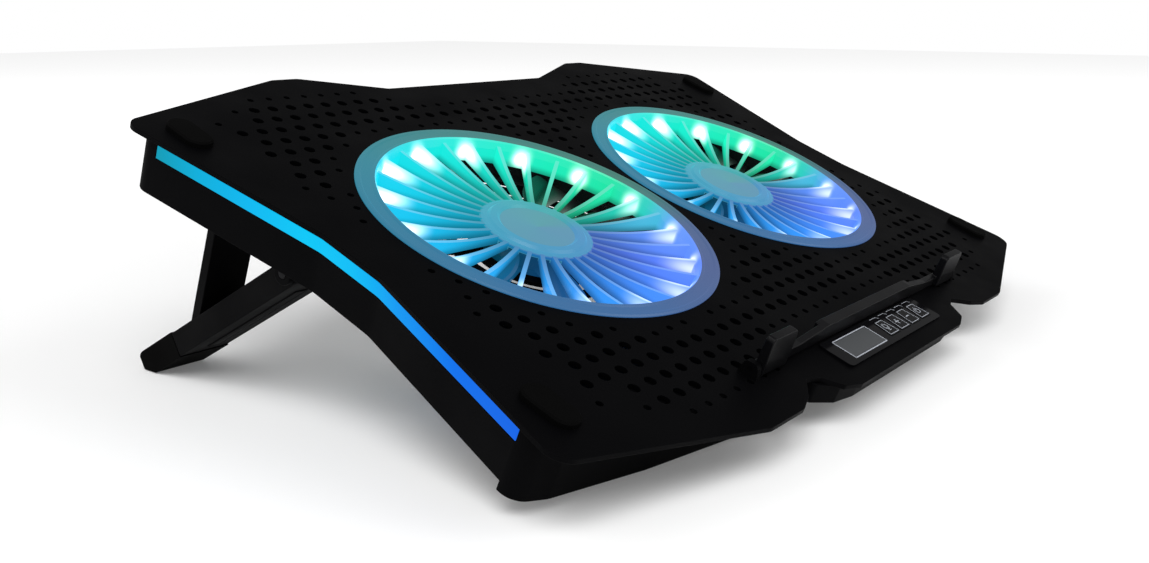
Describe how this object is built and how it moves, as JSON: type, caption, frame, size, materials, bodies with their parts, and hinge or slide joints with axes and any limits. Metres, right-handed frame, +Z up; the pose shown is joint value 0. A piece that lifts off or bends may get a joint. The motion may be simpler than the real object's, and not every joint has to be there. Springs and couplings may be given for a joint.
{
  "type": "laptop cooling pad",
  "caption": "Tilted laptop cooling pad: perforated plate with round lit fan guards, glowing side strips, flip-up stopper, key panel and propped folding legs.",
  "frame": {"origin": "middle of the bounding box, on the table surface under the pad", "axes": "+X to the user's right along the width, +Y away from the user, +Z up"},
  "size_m": [0.3972, 0.2762, 0.1205],
  "materials": {
    "plate_black": "fine powder coat",
    "shell_black": "fine moulded texture",
    "stand_black": "fine moulded texture",
    "fan_black": "satin moulded",
    "frosted_guard": "frosted translucent",
    "frosted_cap": "frosted translucent",
    "strip_lens": "frosted translucent, lit",
    "lens_gloss": "piano gloss",
    "display": "grey display window",
    "key_gloss": "gloss with pale outline",
    "lamp_board": "white solder mask",
    "circuit_board": "green solder mask",
    "motor_winding": "enamelled copper",
    "bronze": "sintered bronze",
    "magnet_grey": "bonded ferrite",
    "steel": "ground steel",
    "screw_black": "black zinc",
    "rubber_black": "matt rubber",
    "socket_metal": "plated steel",
    "lead_black": "PVC sheath",
    "switch_black": "moulded"
  },
  "bodies": {
    "pad": {"bottom_shell": "shell_black", "control_board": "circuit_board", "control_lens": "lens_gloss", "control_tray": "shell_black", "fan_bearing_left": "bronze", "fan_bearing_right": "bronze", "fan_cap_left": "frosted_cap", "fan_cap_right": "frosted_cap", "fan_guard_left": "frosted_guard", "fan_guard_right": "frosted_guard", "fan_housing_left": "fan_black", "fan_housing_right": "fan_black", "fan_lead_left": "lead_black", "fan_lead_right": "lead_black", "fan_lights_left": "lamp_board", "fan_lights_right": "lamp_board", "fan_screws": "screw_black", "fan_stator_left": "motor_winding", "fan_stator_right": "motor_winding", "front_foot_left": "rubber_black", "front_foot_right": "rubber_black", "grip_pads": "rubber_black", "key_switches": "switch_black", "lcd_module": "display", "leg_pins": "steel", "light_strip_left": "strip_lens", "light_strip_right": "strip_lens", "mesh_plate": "plate_black", "prop_rack_left": "stand_black", "prop_rack_right": "stand_black", "shell_screws": "screw_black", "stopper_bracket_left": "shell_black", "stopper_bracket_right": "shell_black", "stopper_pins": "steel", "strip_board_left": "lamp_board", "strip_board_right": "lamp_board", "upper_frame": "shell_black", "usb_board": "circuit_board", "usb_lead": "lead_black", "usb_socket_left": "socket_metal", "usb_socket_right": "socket_metal"},
    "left_fan": {"fan_rotor_left": "fan_black", "fan_shaft_left": "steel", "fan_magnet_left": "magnet_grey"},
    "right_fan": {"fan_rotor_right": "fan_black", "fan_shaft_right": "steel", "fan_magnet_right": "magnet_grey"},
    "stopper_frame": {"stopper": "shell_black"},
    "light_key": {"light_button": "key_gloss"},
    "speed_up_key": {"speed_up_button": "key_gloss"},
    "speed_down_key": {"speed_down_button": "key_gloss"},
    "power_key": {"power_button": "key_gloss"},
    "left_leg": {"leg_left": "stand_black", "leg_foot_left": "rubber_black", "prop_pin_left": "steel"},
    "right_leg": {"leg_right": "stand_black", "leg_foot_right": "rubber_black", "prop_pin_right": "steel"},
    "left_prop": {"prop_left": "stand_black"},
    "right_prop": {"prop_right": "stand_black"}
  },
  "joints": [
    {"name": "left_fan_spin", "type": "hinge", "parent": "pad", "child": "left_fan", "pos_m": [-0.0784, -0.00267, 0.05838], "axis": [0, -0.3757, 0.9267], "continuous": true},
    {"name": "right_fan_spin", "type": "hinge", "parent": "pad", "child": "right_fan", "pos_m": [0.0784, -0.00267, 0.05838], "axis": [0, -0.3757, 0.9267], "continuous": true},
    {"name": "stopper_fold", "type": "hinge", "parent": "pad", "child": "stopper_frame", "pos_m": [0, -0.11514, 0.02918], "axis": [1, 0, 0], "range_deg": [-90, 0]},
    {"name": "light_press", "type": "slide", "parent": "pad", "child": "light_key", "axis": [0, 0.3757, -0.9267], "range_m": [0, 0.0005], "stiffness_N_per_m": 900, "springref_m": -0.0004},
    {"name": "speed_up_press", "type": "slide", "parent": "pad", "child": "speed_up_key", "axis": [0, 0.3757, -0.9267], "range_m": [0, 0.0005], "stiffness_N_per_m": 900, "springref_m": -0.0004},
    {"name": "speed_down_press", "type": "slide", "parent": "pad", "child": "speed_down_key", "axis": [0, 0.3757, -0.9267], "range_m": [0, 0.0005], "stiffness_N_per_m": 900, "springref_m": -0.0004},
    {"name": "power_press", "type": "slide", "parent": "pad", "child": "power_key", "axis": [0, 0.3757, -0.9267], "range_m": [0, 0.0005], "stiffness_N_per_m": 900, "springref_m": -0.0004},
    {"name": "left_leg_fold", "type": "hinge", "parent": "pad", "child": "left_leg", "pos_m": [0, 0.03321, 0.05717], "axis": [1, 0, 0], "range_deg": [-129.4, 0]},
    {"name": "left_prop_fold", "type": "hinge", "parent": "left_leg", "child": "left_prop", "pos_m": [0, 0.09869, 0.02499], "axis": [1, 0, 0], "range_deg": [0, 39.4]},
    {"name": "right_leg_fold", "type": "hinge", "parent": "pad", "child": "right_leg", "pos_m": [0, 0.03321, 0.05717], "axis": [1, 0, 0], "range_deg": [-129.4, 0]},
    {"name": "right_prop_fold", "type": "hinge", "parent": "right_leg", "child": "right_prop", "pos_m": [0, 0.09869, 0.02499], "axis": [1, 0, 0], "range_deg": [0, 39.4]}
  ],
  "couplings": [
    {"joint": "left_prop_fold", "follows": "left_leg_fold", "ratio": -0.30448},
    {"joint": "right_prop_fold", "follows": "right_leg_fold", "ratio": -0.30448}
  ]
}
